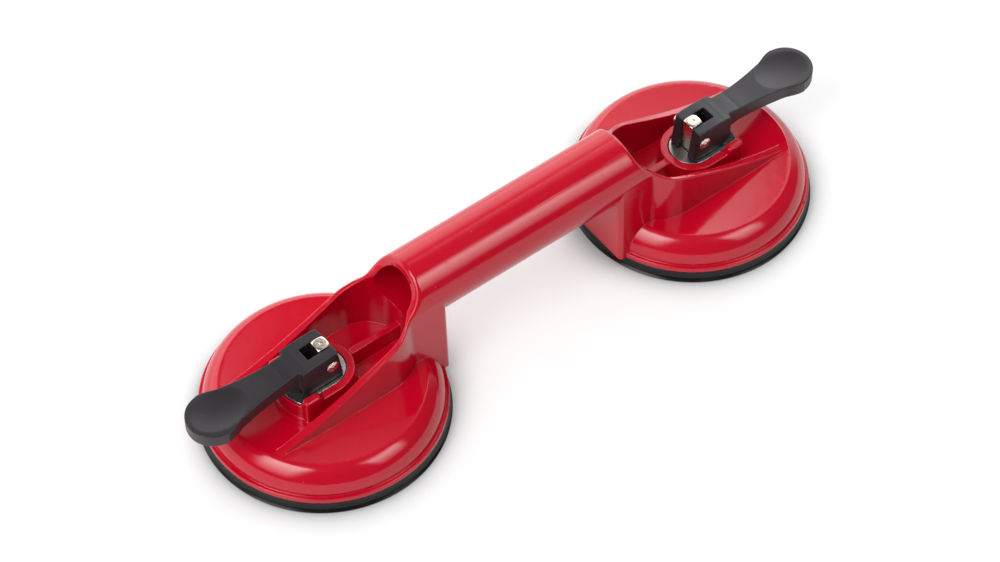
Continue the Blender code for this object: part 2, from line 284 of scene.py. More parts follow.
def net_triangles(inside, index):
    """Two triangles round each grid edge that crosses the surface, facing outward."""
    triangles = []
    for axis in range(3):
        p, q = (axis + 1) % 3, (axis + 2) % 3
        span = [slice(1, n - 1) for n in inside.shape]
        span[axis] = slice(0, inside.shape[axis] - 1)
        ahead = list(span)
        ahead[axis] = slice(1, inside.shape[axis])
        nodes = np.argwhere(inside[tuple(span)] != inside[tuple(ahead)])
        nodes[:, p] += 1
        nodes[:, q] += 1
        outward = inside[tuple(nodes.T)]
        ring = []
        for dp, dq in ((1, 1), (0, 1), (0, 0), (1, 0)):
            cell = nodes.copy()
            cell[:, p] -= dp
            cell[:, q] -= dq
            ring.append(index[tuple(cell.T)])
        ring = np.stack(ring, 1)
        ring[~outward] = ring[~outward][:, ::-1]
        triangles += [ring[:, [0, 1, 2]], ring[:, [0, 2, 3]]]
    return np.concatenate(triangles)


def surface_net(field, low, high, pitch):
    """Lay a net of triangles on the zero surface of a field sampled on a grid."""
    axes = [np.arange(a, b + pitch, pitch) for a, b in zip(low, high)]
    value = field(*np.meshgrid(*axes, indexing="ij"))
    inside = value < 0.0
    total = sum(cell_corner(inside, *c).astype(np.int8) for c in product((0, 1), repeat=3))
    mixed = (total > 0) & (total < 8)
    index = np.full(mixed.shape, -1)
    index[mixed] = np.arange(mixed.sum())
    points = crossing_points(value, mixed) * pitch + np.array([a[0] for a in axes])
    return points, net_triangles(inside, index)


def refine(points, normals, triangles, bend, shortest):
    """Split the edges over which the surface turns by more than bend degrees."""
    ends = np.sort(triangles[:, [0, 1, 1, 2, 2, 0]].reshape(-1, 2), axis=1)
    edges, which = np.unique(ends, axis=0, return_inverse=True)
    a, b = edges.T
    turn = (normals[a] * normals[b]).sum(1) < math.cos(math.radians(bend))
    split = turn & (np.linalg.norm(points[a] - points[b], axis=1) > shortest)
    middle = np.full(len(edges), -1)
    middle[split] = len(points) + np.arange(split.sum())
    points = np.concatenate([points, 0.5 * (points[a[split]] + points[b[split]])])

    mids = middle[which.reshape(-1, 3)]
    code = (mids >= 0) @ np.array([1, 2, 4])
    made = [triangles[code == 0]]
    for turned, one, two in ((0, 1, 3), (1, 2, 6), (2, 4, 5)):
        corners, halves = np.roll(triangles, -turned, 1), np.roll(mids, -turned, 1)
        made += split_one(corners[code == one], halves[code == one])
        made += split_two(corners[code == two], halves[code == two])
    made += split_three(triangles[code == 7], mids[code == 7])
    return points, np.concatenate(made)


def split_one(v, e):
    """Two triangles from one whose first edge is split; v are corners, e are midpoints."""
    return [np.stack([v[:, 0], e[:, 0], v[:, 2]], 1), np.stack([e[:, 0], v[:, 1], v[:, 2]], 1)]


def split_two(v, e):
    """Three triangles from one whose first two edges are split."""
    return [np.stack([e[:, 0], v[:, 1], e[:, 1]], 1), np.stack([v[:, 0], e[:, 0], e[:, 1]], 1),
            np.stack([v[:, 0], e[:, 1], v[:, 2]], 1)]


def split_three(v, e):
    """Four triangles from one whose edges are all split."""
    return [np.stack([v[:, 0], e[:, 0], e[:, 2]], 1), np.stack([e[:, 0], v[:, 1], e[:, 1]], 1),
            np.stack([e[:, 2], e[:, 1], v[:, 2]], 1), e]


def mirrored(points, normals, triangles, axis):
    """Add the mirror image about the plane through the origin, sharing the points on it."""
    on_plane = np.abs(points[:, axis]) < ON_PLANE
    image = np.where(on_plane, np.arange(len(points)), len(points) + np.cumsum(~on_plane) - 1)
    flip = np.ones(3)
    flip[axis] = -1.0
    return (np.concatenate([points, points[~on_plane] * flip]),
            np.concatenate([normals, normals[~on_plane] * flip]),
            np.concatenate([triangles, image[triangles][:, ::-1]]))


def implicit_mesh(field, low, high, pitch, mirror_axes=(), bend=16.0, shortest=0.3, passes=3):
    """Mesh points, normals and triangles of a field's zero surface."""
    low = list(low)
    for axis in mirror_axes:
        low[axis] = -0.5 * pitch
    points, triangles = surface_net(field, low, high, pitch)
    points = settle(field, points, 0.5 * pitch, on_mirror(points, mirror_axes))
    normals = surface_normals(field, points, mirror_axes)
    for _ in range(passes):
        start = len(points)
        points, triangles = refine(points, normals, triangles, bend, shortest)
        added = points[start:]
        points[start:] = settle(field, added, 0.25 * pitch, on_mirror(added, mirror_axes), 3)
        normals = surface_normals(field, points, mirror_axes)
    for axis in mirror_axes:
        points, normals, triangles = mirrored(points, normals, triangles, axis)
    return points, normals, triangles


def link(name, data):
    """New object in the scene that shows a mesh, light or camera."""
    obj = bpy.data.objects.new(name, data)
    bpy.context.scene.collection.objects.link(obj)
    return obj


def new_object(name, surface, mat, place=Matrix.Identity(4)):
    """Object from the millimetre points, normals and triangles of a surface."""
    points, normals, triangles = surface
    mesh = bpy.data.meshes.new(name)
    mesh.from_pydata((points * MM).tolist(), [], triangles.tolist())
    mesh.shade_smooth()
    mesh.validate()
    if len(mesh.vertices) == len(normals):
        mesh.normals_split_custom_set_from_vertices(normals.tolist())
    mesh.transform(place)
    mesh.materials.append(mat)
    return link(name, mesh)


# ---------------------------------------------------------------- body

def shoulder_field(r, z, inset):
    """Quarter ellipse that ends in a flat top; inset makes it smaller all round."""
    a, b = SHOULDER_AXES[0] - inset, SHOULDER_AXES[1] - inset
    p = np.maximum(r - SHOULDER_CENTRE[0], 0.0)
    q = z - SHOULDER_CENTRE[1]
    size = np.sqrt((p / a) ** 2 + (q / b) ** 2)
    slope = np.sqrt((p / a ** 2) ** 2 + (q / b ** 2) ** 2)
    return (size - 1.0) * size / np.maximum(slope, 1e-4)


def cap_field(r, z):
    """Dished top inside a creased, rounded shoulder that stands on the rim."""
    share = np.clip((r - DISH_R) / (CREASE_R - DISH_R), 0.0, DISH_LIMIT)
    dish = CREASE_Z - DISH_DEPTH + DISH_DEPTH * share ** DISH_POWER
    dome = trim(shoulder_field(r, z, 0.0), z - dish, CREASE_EDGE)
    rim = trim(r - RIM_R, z - STEP_Z, RIM_EDGE)
    return np.maximum(join(dome, rim, STEP_FILLET), RIM_Z - z)


def hollow_field(r, z):
    """Space under the cap, with the stud's guide standing in it."""
    space = np.maximum(shoulder_field(r, z, WALL), z - (CREASE_Z - DISH_DEPTH - WALL))
    guide = np.maximum(r - GUIDE_R, GUIDE_Z - z)
    return np.maximum(space, -guide)


def stadium(u, y, half, end_u):
    """Parallel sides that a half circle closes towards the grip."""
    return np.where(u < end_u, np.hypot(u - end_u, y), np.abs(y)) - half


def stud_hole(u, y):
    """Square hole that clears the stud; positive inside it."""
    return STUD_HALF + GAP - np.maximum(np.abs(u), np.abs(y))


def neck_field(u, y, z):
    """Drafted so that its sides run tangent into the tube."""
    lean = (NECK_HALF - TUBE_R) / (TUBE_Z - RIM_Z)
    half = NECK_HALF - lean * (z - RIM_Z)
    block = trim(np.abs(y) - half, NECK_INNER_U - u, NECK_CORNER)
    return np.maximum(np.maximum(block, u - NECK_OUTER_U), z - TUBE_Z - TUBE_R * math.sin(lean))


def sweep_curve():
    """Edge that cuts the grip off, down the mouth and along the cheeks."""
    above = [(MOUTH_CURVE[0][0], FAR)]
    mouth, cheek = bezier(MOUTH_CURVE, MOUTH_STEPS), bezier(CHEEK_CURVE, CHEEK_STEPS)
    beyond = [(FAR, CHEEK_CURVE[-1][1])]
    return np.concatenate([above, mouth, cheek[1:], beyond])


def grip_field(u, y, z):
    """Neck, tube and cheeks, cut off along the sweep and hollowed by trough and bore."""
    tube = np.hypot(y, z - TUBE_Z) - TUBE_R
    rise = (z - CHEEK_Z[0]) / (CHEEK_Z[1] - CHEEK_Z[0])
    outer = CHEEK_HALF[0] + (CHEEK_HALF[1] - CHEEK_HALF[0]) * rise
    cheeks = np.maximum(stadium(u, y, outer, TROUGH_END_U), u - CHEEK_END_U)
    cheeks = np.maximum(cheeks, CHEEK_FOOT_Z - z)
    solid = join(np.minimum(neck_field(u, y, z), tube), cheeks, CHEEK_FILLET)
    rounding = MOUTH_EDGE - CHEEK_EDGE_LESS * step(u, *EDGE_CHANGE_U)
    solid = trim(solid, above_curve(u, z, sweep_curve()), rounding)
    inner = TROUGH_HALF[0] + (TROUGH_HALF[1] - TROUGH_HALF[0]) * rise
    trough = stadium(u, y, inner, TROUGH_END_U)
    bore = np.hypot(y, z - TUBE_Z) - BORE_R
    return trim(solid, -np.minimum(trough, bore), TROUGH_EDGE)


def boss_field(u, y, z):
    """Pedestal with drafted sides and a seat for the washer."""
    draft = BOSS_DRAFT * (BOSS_TOP - z)
    side = stadium(u, y, BOSS_R + draft, 0.0)
    plan = trim(side, np.hypot(u, y) - BOSS_END_R - draft, BOSS_CORNER)
    seat = np.maximum(stadium(u, y, WASHER_R + GAP, 0.0), WASHER_LOW - GAP - z)
    return trim(trim(plan, z - BOSS_TOP, BOSS_EDGE), -seat, SEAT_EDGE)


def stop_field(u, y, z):
    """Two blocks that stand on the pedestal, each with a slanted inner end."""
    mid_u, half_u = sum(STOP_U) / 2, (STOP_U[1] - STOP_U[0]) / 2
    mid_y, half_y = sum(STOP_Y) / 2, (STOP_Y[1] - STOP_Y[0]) / 2
    slant = STOP_SLANT[0] * (STOP_U[0] - u) + STOP_SLANT[1] * (z - BOSS_TOP)
    ends = np.maximum(np.abs(u - mid_u) - half_u, slant)
    plan = trim(ends, np.abs(np.abs(y) - mid_y) - half_y, STOP_CORNER)
    return trim(plan, z - STOP_TOP, STOP_EDGE)


def rib_field(u, y, z):
    """Rib that runs from the pedestal along the trough into the bore."""
    ends = np.maximum(u - RIB_U[1], RIB_U[0] - u)
    return trim(np.maximum(np.abs(y) - RIB_HALF, ends), z - RIB_TOP, RIB_EDGE)


def pedestal_field(u, y, z):
    """Everything that stands in the trough."""
    blocks = join(boss_field(u, y, z), stop_field(u, y, z), STOP_FILLET)
    return join(blocks, rib_field(u, y, z), RIB_FILLET)


def body_field(x, y, z):
    """Whole moulding; both cups are the same, mirrored."""
    u = np.abs(x) - CUP_X
    r = np.hypot(u, y)
    pedestal = np.maximum(pedestal_field(u, y, z), PEDESTAL_FOOT_Z - z)
    body = join(cap_field(r, z), grip_field(u, y, z), GRIP_FILLET)
    body = join(body, pedestal, PEDESTAL_FILLET)
    body = np.maximum(body, -hollow_field(r, z))
    return np.maximum(body, np.maximum(RIM_Z - z, stud_hole(u, y)))


def make_body(mat):
    pitch = 1.3
    low = (0.0, 0.0, RIM_Z - pitch)
    high = (CUP_X + RIM_R + pitch, RIM_R + pitch, TUBE_Z + TUBE_R + pitch)
    surface = implicit_mesh(body_field, low, high, pitch, (0, 1), bend=18.0, shortest=0.45)
    body = new_object("moulded_body", surface, mat)
    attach(body, "root")
    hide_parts("body_housing")


# ---------------------------------------------------------------- levers

LEVER_HALF = 9.0
LEVER_YAW = math.radians(1.1)
HEAD_END = 16.8
HEAD_FOOT = WASHER_TOP + GAP - PIN_Z
HEAD_INNER = ((-3.5, 7.4), (-6.1, HEAD_FOOT))
HEAD_HEEL = ((16.6, -7.8), (13.0, HEAD_FOOT))
HEAD_FILLET = 0.9
TOE_EDGE = 0.7
HEEL_EDGE = 1.0
ARM_START = 4.0
ARM_HALF = 6.7
ARM_FLARE = 0.0086
FLARE_START = 20.0
FLARE_POWER = 1.765
ARM_UNDER = -3.4
ARM_UNDER_START = 8.0
ARM_FILLET = 4.0
LEVER_TOP = ((-8.0, 7.5), (14.0, 7.2), (24.0, 5.4), (80.0, 4.55))
TOP_BENDS = ((14.0, 4.0, 0.35), (24.0, 5.0, -0.3))
TOP_EDGE = 0.6
SIDE_EDGE = 0.5
PADDLE_U = 60.3
PADDLE_R = 12.9
PADDLE_BLEND = 1.5
BOWL_U = 56.7
BOWL_HALF = (14.6, 10.8)
BOWL_DEPTH = 1.3
BOWL_POWER = 1.15
SLOT_HALF = 3.75
SLOT_END = 9.8
SLOT_EDGE = 0.4
PIN_HOLE_R = 2.8
UNDER_ARM_EDGE = 1.5
INNER_END_EDGE = 0.6

# Factors that bring a slanting side's field back to about true distance
FLARE_SLOPE = 0.97
TOP_SLOPE = 0.985


def lever_plan_field(a, b):
    """Square head, waisted arm and round thumb paddle, seen from above."""
    head = np.maximum(np.abs(b) - LEVER_HALF, a - HEAD_END)
    half = ARM_HALF + ARM_FLARE * np.maximum(a - FLARE_START, 0.0) ** FLARE_POWER
    side = (np.abs(b) - half) * FLARE_SLOPE
    arm = np.maximum(np.maximum(side, ARM_START - a), a - PADDLE_U)
    paddle = np.hypot(a - PADDLE_U, b) - PADDLE_R
    return join(soft_union(arm, paddle, PADDLE_BLEND), head, HEAD_FILLET)


def lever_top_field(a, b, c):
    """Top that slopes down behind the head, with softened bends and a bowl for the thumb."""
    top = np.interp(a, *zip(*LEVER_TOP))
    bend = sum(drop * np.exp(-((a - at) / width) ** 2) for at, width, drop in TOP_BENDS)
    bowl = 1.0 - ((a - BOWL_U) / BOWL_HALF[0]) ** 2 - (b / BOWL_HALF[1]) ** 2
    thumb = BOWL_DEPTH * np.maximum(bowl, 0.0) ** BOWL_POWER
    return (c - top + bend + thumb) * TOP_SLOPE


def lever_side_field(a, c):
    """Head with its cam foot, and the underside of the arm, seen from the side."""
    toe = trim(-line_field(a, c, *HEAD_INNER), HEAD_FOOT - c, TOE_EDGE)
    heel = trim(a - HEAD_END, line_field(a, c, *HEAD_HEEL), HEEL_EDGE)
    arm = np.maximum(ARM_UNDER - c, ARM_UNDER_START - a)
    return join(np.maximum(toe, heel), arm, ARM_FILLET)


def lever_field(a, b, c):
    """The side edges are rounder under the arm and at the head's inner end."""
    side = trim(lever_side_field(a, c), lever_top_field(a, b, c), TOP_EDGE)
    under_arm = UNDER_ARM_EDGE * step(-c, -0.5, 3.0) * step(a, 18.0, 26.0)
    inner_end = INNER_END_EDGE * step(-a, 0.0, 3.0)
    lever = trim(side, lever_plan_field(a, b), SIDE_EDGE + under_arm + inner_end)
    slot = trim(np.abs(b) - SLOT_HALF, a - SLOT_END, SLOT_EDGE)
    lever = trim(lever, -slot, SLOT_EDGE)
    return np.maximum(lever, PIN_HOLE_R - np.hypot(a, c))


def make_lever(label, facing, mat):
    """The lever sits a little askew on its pin, as the slot's play lets it."""
    pitch = 0.8
    low = (-8.0, 0.0, HEAD_FOOT - pitch)
    high = (75.0, 15.0, 9.0)
    surface = implicit_mesh(lever_field, low, high, pitch, (1,), shortest=0.25)
    turn = LEVER_YAW + (math.pi if facing < 0.0 else 0.0)
    pin = Matrix.Translation((facing * CUP_X * MM, 0.0, PIN_Z * MM))
    lever = new_object(f"thumb_lever_{label}", surface, mat, pin @ Matrix.Rotation(turn, 4, "Z"))
    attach(lever, f"lever_arm_{label}")
    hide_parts(f"lever_{label}")


# ---------------------------------------------------------------- metal pieces

METAL_PITCH = 0.5
STUD_EDGE = 0.35
CHAMFER_R = 3.6
CHAMFER_LEAN = (0.64, 0.77)
CHAMFER_EDGE = 0.5
STUD_TOP_EDGE = 0.2
DIMPLE_R = 1.3
DIMPLE_RISE = 1.2
DIMPLE_EDGE = 0.15
WASHER_CORNER = 0.6
WASHER_EDGE = 0.25
PIN_R = 2.5
PIN_HEAD_R = 3.2
PIN_REACH = 9.3
SHANK_OVERLAP = 0.4
DOME_R = 3.9
DOME_SINK = 0.9
DOME_EDGE = 0.3
HAMMERED_SPREAD = 0.1
HAMMERED_RISE = 1.15
HAMMERED_CURVE = 0.075
HAMMERED_EDGE = 0.4
DENT_DEPTH = 0.07
PLATE_THICK = 2.0
PLATE_HOLE_R = 2.9


def stud_field(u, y, z):
    """Square bar whose end is turned to a chamfer and has a centre dimple."""
    bar = trim(np.abs(u) - STUD_HALF, np.abs(y) - STUD_HALF, STUD_EDGE)
    r = np.hypot(u, y)
    chamfer = CHAMFER_LEAN[0] * (r - CHAMFER_R) + CHAMFER_LEAN[1] * (z - STUD_TOP)
    stud = trim(bar, trim(z - STUD_TOP, chamfer, CHAMFER_EDGE), STUD_TOP_EDGE)
    dimple = DIMPLE_R - np.sqrt(r * r + (z - STUD_TOP - DIMPLE_RISE) ** 2)
    return trim(np.maximum(stud, STUD_LOW - z), dimple, DIMPLE_EDGE)


def washer_field(u, y, z):
    """Stamped plate with a square hole and slightly rounded edges."""
    plan = trim(stadium(u, y, WASHER_R, 0.0), np.hypot(u, y) - WASHER_END_R, WASHER_CORNER)
    middle, half = 0.5 * (WASHER_LOW + WASHER_TOP), 0.5 * (WASHER_TOP - WASHER_LOW)
    return trim(np.maximum(plan, stud_hole(u, y)), np.abs(z - middle) - half, WASHER_EDGE)


def pin_field(u, y, v):
    """Pin along y: a domed factory head on one end, a hammered one on the other."""
    r = np.hypot(u, v)
    shank = np.maximum(r - PIN_R, np.abs(y) - PIN_REACH - SHANK_OVERLAP)
    ball = np.sqrt(r * r + (y - PIN_REACH + DOME_SINK) ** 2) - DOME_R
    dome = np.maximum(trim(ball, r - PIN_HEAD_R, DOME_EDGE), PIN_REACH - y)
    dents = DENT_DEPTH * np.cos(2.3 * u + 0.8) * np.cos(2.7 * v - 0.4)
    face = PIN_REACH + HAMMERED_RISE - HAMMERED_CURVE * r * r + dents
    hammered = trim(0.9 * (-y - face), r - PIN_HEAD_R - HAMMERED_SPREAD, HAMMERED_EDGE)
    hammered = np.maximum(hammered, y + PIN_REACH)
    return np.minimum(np.minimum(shank, dome), hammered)


def turned_faces(profile, steps):
    """Points and four-sided faces of a profile turned about Z."""
    rings = np.array(profile)
    angle = np.arange(steps) * 2.0 * math.pi / steps
    points = np.stack([rings[:, :1] * np.cos(angle), rings[:, :1] * np.sin(angle),
                       np.repeat(rings[:, 1:], steps, 1)], 2).reshape(-1, 3)
    faces = []
    for ring in range(len(rings) - 1):
        for i in range(steps):
            j = (i + 1) % steps
            a, b = ring * steps, (ring + 1) * steps
            faces.append((a + i, a + j, b + j, b + i))
    return points, faces


def turned_object(name, profile, mat, place, steps=96):
    """Piece made by turning a profile of (radius, height) points about Z."""
    points, faces = turned_faces(profile, steps)
    mesh = bpy.data.meshes.new(name)
    mesh.from_pydata((points * MM).tolist(), [], faces)
    mesh.transform(place)
    mesh.materials.append(mat)
    obj = link(name, mesh)
    weld_poles(mesh)
    return obj


def weld_poles(mesh):
    """Close the profile's seam and its points on the axis, and shade its curves smooth."""
    bm = bmesh.new()
    bm.from_mesh(mesh)
    bmesh.ops.remove_doubles(bm, verts=bm.verts, dist=1e-7)
    bmesh.ops.recalc_face_normals(bm, faces=bm.faces)
    bm.to_mesh(mesh)
    bm.free()
    mesh.shade_smooth()
    mesh.set_sharp_from_angle(angle=math.radians(40.0))


def rounded(profile, steps=4):
    """Points of a profile of (radius, height, rounding) corners, each turned into a short curve."""
    corners = [np.array(row[:2], float) for row in profile]
    made = []
    for i, here in enumerate(corners):
        rounding = profile[i][2]
        if rounding == 0.0:
            made.append(here)
            continue
        before = unit((corners[i - 1] - here)[None])[0]
        after = unit((corners[(i + 1) % len(corners)] - here)[None])[0]
        for k in range(steps + 1):
            t = k / steps
            made.append(here + rounding * ((1 - t) ** 2 * before + t ** 2 * after))
    return made


def make_stud(label, place, mat):
    low = (0.0, 0.0, STUD_LOW - METAL_PITCH)
    high = (4.6, 4.6, STUD_TOP + 1.0)
    surface = implicit_mesh(stud_field, low, high, METAL_PITCH, (0, 1), shortest=0.2)
    stud = new_object(f"stud_{label}", surface, mat, place)
    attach(stud, f"stud_{label}")
    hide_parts(f"square_stud_{label}")


def make_washer(label, place, mat):
    low = (-12.0, 0.0, WASHER_LOW - METAL_PITCH)
    high = (23.5, 12.0, WASHER_TOP + METAL_PITCH)
    surface = implicit_mesh(washer_field, low, high, METAL_PITCH, (1,), shortest=0.2, passes=2)
    washer = new_object(f"cam_washer_{label}", surface, mat, place)
    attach(washer, "root")
    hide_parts(f"wear_washer_{label}")


def make_pin(label, place, mat):
    low, high = (-3.9, -11.2, -3.9), (3.9, 13.0, 3.9)
    surface = implicit_mesh(pin_field, low, high, METAL_PITCH, shortest=0.15)
    pin = new_object(f"rivet_pin_{label}", surface, mat, place)
    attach(pin, f"stud_{label}")
    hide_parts(f"hinge_pin_{label}")


def make_plate(label, place, mat):
    top = PLATE_LOW + PLATE_THICK
    profile = rounded([(PLATE_HOLE_R, PLATE_LOW, 0.2), (PLATE_R, PLATE_LOW, 0.6),
                       (PLATE_R, top, 0.3), (PLATE_HOLE_R, top, 0.2)])
    plate = turned_object(f"pressure_plate_{label}", profile + profile[:1], mat, place)
    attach(plate, f"stud_{label}")
    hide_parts(f"backing_plate_{label}")


def make_metal(label, facing, steel, nickel):
    x = facing * CUP_X * MM
    axis = Matrix.Translation((x, 0.0, 0.0))
    outward = axis @ Matrix.Rotation(math.pi if facing < 0.0 else 0.0, 4, "Z")
    make_stud(label, outward, nickel)
    make_washer(label, outward, steel)
    make_pin(label, Matrix.Translation((x, 0.0, PIN_Z * MM)), nickel)
    make_plate(label, axis, steel)


# ---------------------------------------------------------------- rubber pads

PAD_TOP = 5.9
SEAM_TOP = PAD_TOP - 0.1
PAD_SIDE_R = 58.3
PAD_SPLIT_R = 52.0
PAD_RISE_R = 48.0
CONE_Z = 5.6
CONE_SHARE = 0.62
RING_STEPS = 240
MIDDLE_STEPS = 160
MIDDLE_POINTS = 22
RING_PROFILE = (
    (PAD_SPLIT_R, 0.0, 0.0),
    (PAD_R - 0.6, 0.0, 0.25),
    (PAD_R, 0.5, 0.3),
    (PAD_SIDE_R + 0.7, 1.4, 0.9),
    (PAD_SIDE_R, 2.9, 0.9),
    (PAD_SIDE_R, PAD_TOP, 0.7),
    (PAD_SPLIT_R, SEAM_TOP, 0.0),
)


def make_sealing_ring(label, place, mat):
    """Outer part of the pad, with its lip, which stays put."""
    outer = turned_object(f"sealing_ring_{label}", rounded(RING_PROFILE), mat, place, RING_STEPS)
    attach(outer, "root")
    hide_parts(f"rubber_pad_{label}")


def make_pad_middle(label, place, mat):
    """Middle of the pad, with a shallow cone under it, which the stud pushes down."""
    share = np.linspace(0.0, 1.0, MIDDLE_POINTS)
    low_top = PLATE_LOW - GAP
    under = [(PAD_SPLIT_R * (1.0 - k), CONE_Z * float(step(k, 0.0, CONE_SHARE))) for k in share]
    over = []
    for radius in PAD_SPLIT_R * share:
        rise = float(step(radius, PLATE_R, PAD_RISE_R))
        over.append((radius, low_top + (SEAM_TOP - low_top) * rise))
    middle = turned_object(f"pad_middle_{label}", under + over, mat, place, MIDDLE_STEPS)
    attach(middle, "root")
    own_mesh(middle)


def make_pad(label, facing, mat):
    place = Matrix.Translation((facing * CUP_X * MM, 0.0, 0.0))
    make_sealing_ring(label, place, mat)
    make_pad_middle(label, place, mat)


# ---------------------------------------------------------------- looks

class Nodes:
    """Short way to write a node tree: each call adds a node and wires its inputs."""

    def __init__(self, tree):
        self.tree = tree

    def add(self, kind, inputs=(), **settings):
        node = self.tree.nodes.new(kind)
        for key, value in settings.items():
            setattr(node, key, value)
        for key, value in dict(inputs).items():
            self.feed(node.inputs[key], value)
        return node

    def feed(self, socket, value):
        """Link another node's output, or set a plain value."""
        if isinstance(value, bpy.types.NodeSocket):
            self.tree.links.new(value, socket)
        else:
            socket.default_value = value

    def math(self, operation, *values):
        return self.add("ShaderNodeMath", dict(enumerate(values)), operation=operation).outputs[0]

    def hypot(self, a, b):
        squares = self.math("ADD", self.math("MULTIPLY", a, a), self.math("MULTIPLY", b, b))
        return self.math("SQRT", squares)

    def split(self, vector):
        return self.add("ShaderNodeSeparateXYZ", {"Vector": vector}).outputs

    def noise(self, vector, scale, detail=2.0, roughness=0.5):
        inputs = {"Vector": vector, "Scale": scale, "Detail": detail, "Roughness": roughness}
        return self.add("ShaderNodeTexNoise", inputs).outputs["Fac"]

    def stretch(self, vector, scale):
        return self.add("ShaderNodeMapping", {"Vector": vector, "Scale": scale}).outputs[0]

    def ramp(self, value, low, high, from_low=0.0, from_high=1.0):
        """Smooth change from low to high as the value goes from from_low to from_high."""
        inputs = {"Value": value, "From Min": from_low, "From Max": from_high,
                  "To Min": low, "To Max": high}
        return self.add("ShaderNodeMapRange", inputs, interpolation_type="SMOOTHSTEP").outputs[0]

    def mix(self, factor, a, b):
        """Colour a where the factor is 0, colour b where it is 1."""
        node = self.add("ShaderNodeMix", {"Factor": factor}, data_type="RGBA")
        for socket, colour in ((node.inputs[6], a), (node.inputs[7], b)):
            plain = isinstance(colour, tuple)
            self.feed(socket, (*colour, 1.0) if plain else colour)
        return node.outputs[2]

    def bump(self, height, distance, after=None):
        inputs = {"Height": height, "Distance": distance, "Strength": 1.0}
        if after is not None:
            inputs["Normal"] = after
        return self.add("ShaderNodeBump", inputs).outputs[0]

    def open_to_sky(self, distance):
        """1 in the open, less where something stands within the distance."""
        return self.add("ShaderNodeAmbientOcclusion", {"Distance": distance}).outputs["AO"]


def new_material(name, metallic=0.0):
    """Material, its node helper, its shader and the object's own coordinates."""
    mat = bpy.data.materials.new(name)
    mat.use_nodes = True
    n = Nodes(mat.node_tree)
    shader = mat.node_tree.nodes["Principled BSDF"]
    shader.inputs["Metallic"].default_value = metallic
    place = n.add("ShaderNodeTexCoord").outputs["Object"]
    return mat, n, shader, place


def wire(mat, shader, **sockets):
    """Link outputs to the shader's inputs, named with _ for a space."""
    for name, socket in sockets.items():
        mat.node_tree.links.new(socket, shader.inputs[name.replace("_", " ")])


def bright_specks(n, place, scale, size):
    """Sparse dust grains: 1 inside a grain, 0 elsewhere."""
    cells = n.add("ShaderNodeTexVoronoi", {"Vector": place, "Scale": scale})
    grain = n.math("LESS_THAN", cells.outputs["Distance"], size)
    lot = n.add("ShaderNodeSeparateColor", {"Color": cells.outputs["Color"]}).outputs[0]
    return n.math("MULTIPLY", grain, n.math("GREATER_THAN", lot, 0.6))


def cup_coordinates(n, place):
    """Outward, across, up, and the distance from the axis, for the nearer cup."""
    along, across, up = n.split(place)
    outward = n.math("SUBTRACT", n.math("ABSOLUTE", along), CUP_X * MM)
    return outward, across, up, n.hypot(outward, across)


def grip_flow_lines(n, place):
    """Faint streaks along the outside of the grip: 1 in a streak."""
    along, across, up = n.split(place)
    above_axis = n.math("SUBTRACT", up, TUBE_Z * MM)
    outside = n.ramp(n.hypot(across, above_axis), 0.0, 1.0, 15.0 * MM, 17.0 * MM)
    on_grip = n.math("MULTIPLY", outside, n.ramp(up, 0.0, 1.0, 42.0 * MM, 46.0 * MM))
    flow = n.noise(n.stretch(place, (9.0, 420.0, 420.0)), 1.0, 4.0, 0.6)
    return n.math("MULTIPLY", n.ramp(flow, 0.0, 1.0, 0.60, 0.72), on_grip)


def mould_lines(n, place):
    """Wandering line round the grip near each of its ends: 1 on the line."""
    along = n.split(place)[0]
    off_line = n.math("ABSOLUTE", n.math("SUBTRACT", n.math("ABSOLUTE", along), 45.0 * MM))
    wander = n.math("MULTIPLY", n.noise(place, 60.0), 0.8 * MM)
    return n.ramp(n.math("ADD", off_line, wander), 1.0, 0.0, 0.35 * MM, 0.75 * MM)


def red_plastic():
    """Glossy moulding: slight waviness, flow lines along the grip, mould lines and dust."""
    mat, n, shader, place = new_material("glossy_red_plastic")
    cloudy = n.noise(place, 38.0, 3.0)
    deep = n.mix(cloudy, (0.455, 0.0, 0.012), (0.51, 0.001, 0.018))
    specks = bright_specks(n, place, 130.0, 0.03)
    colour = n.mix(n.math("MULTIPLY", specks, 0.45), deep, (0.75, 0.30, 0.30))
    smudges = n.ramp(n.noise(place, 24.0, 5.0, 0.62), 0.0, 1.0, 0.45, 0.75)
    rough = n.math("ADD", n.math("MULTIPLY", smudges, 0.05), n.ramp(cloudy, 0.085, 0.12))
    normal = n.bump(n.noise(place, 210.0, 2.0, 0.4), 0.03 * MM)
    normal = n.bump(grip_flow_lines(n, place), 0.02 * MM, after=normal)
    normal = n.bump(mould_lines(n, place), 0.02 * MM, after=normal)
    normal = n.bump(specks, 0.05 * MM, after=normal)
    wire(mat, shader, Base_Color=colour, Roughness=rough, Normal=normal)
    shader.inputs["IOR"].default_value = 1.5
    return mat


def black_plastic():
    """Satin moulding with a fine spark-eroded grain and faint shinier patches."""
    mat, n, shader, place = new_material("satin_black_plastic")
    grain = n.noise(place, 2600.0, 3.0, 0.6)
    patches = n.noise(place, 45.0, 4.0, 0.6)
    colour = n.mix(patches, (0.010, 0.0075, 0.0105), (0.017, 0.0135, 0.018))
    specks = bright_specks(n, place, 130.0, 0.022)
    colour = n.mix(n.math("MULTIPLY", specks, 0.4), colour, (0.30, 0.29, 0.29))
    rough = n.math("ADD", n.ramp(patches, 0.34, 0.42, 0.3, 0.7), n.math("MULTIPLY", grain, 0.06))
    normal = n.bump(n.noise(place, 160.0, 2.0), 0.05 * MM)
    normal = n.bump(grain, 0.02 * MM, after=normal)
    wire(mat, shader, Base_Color=colour, Roughness=rough, Normal=normal)
    return mat


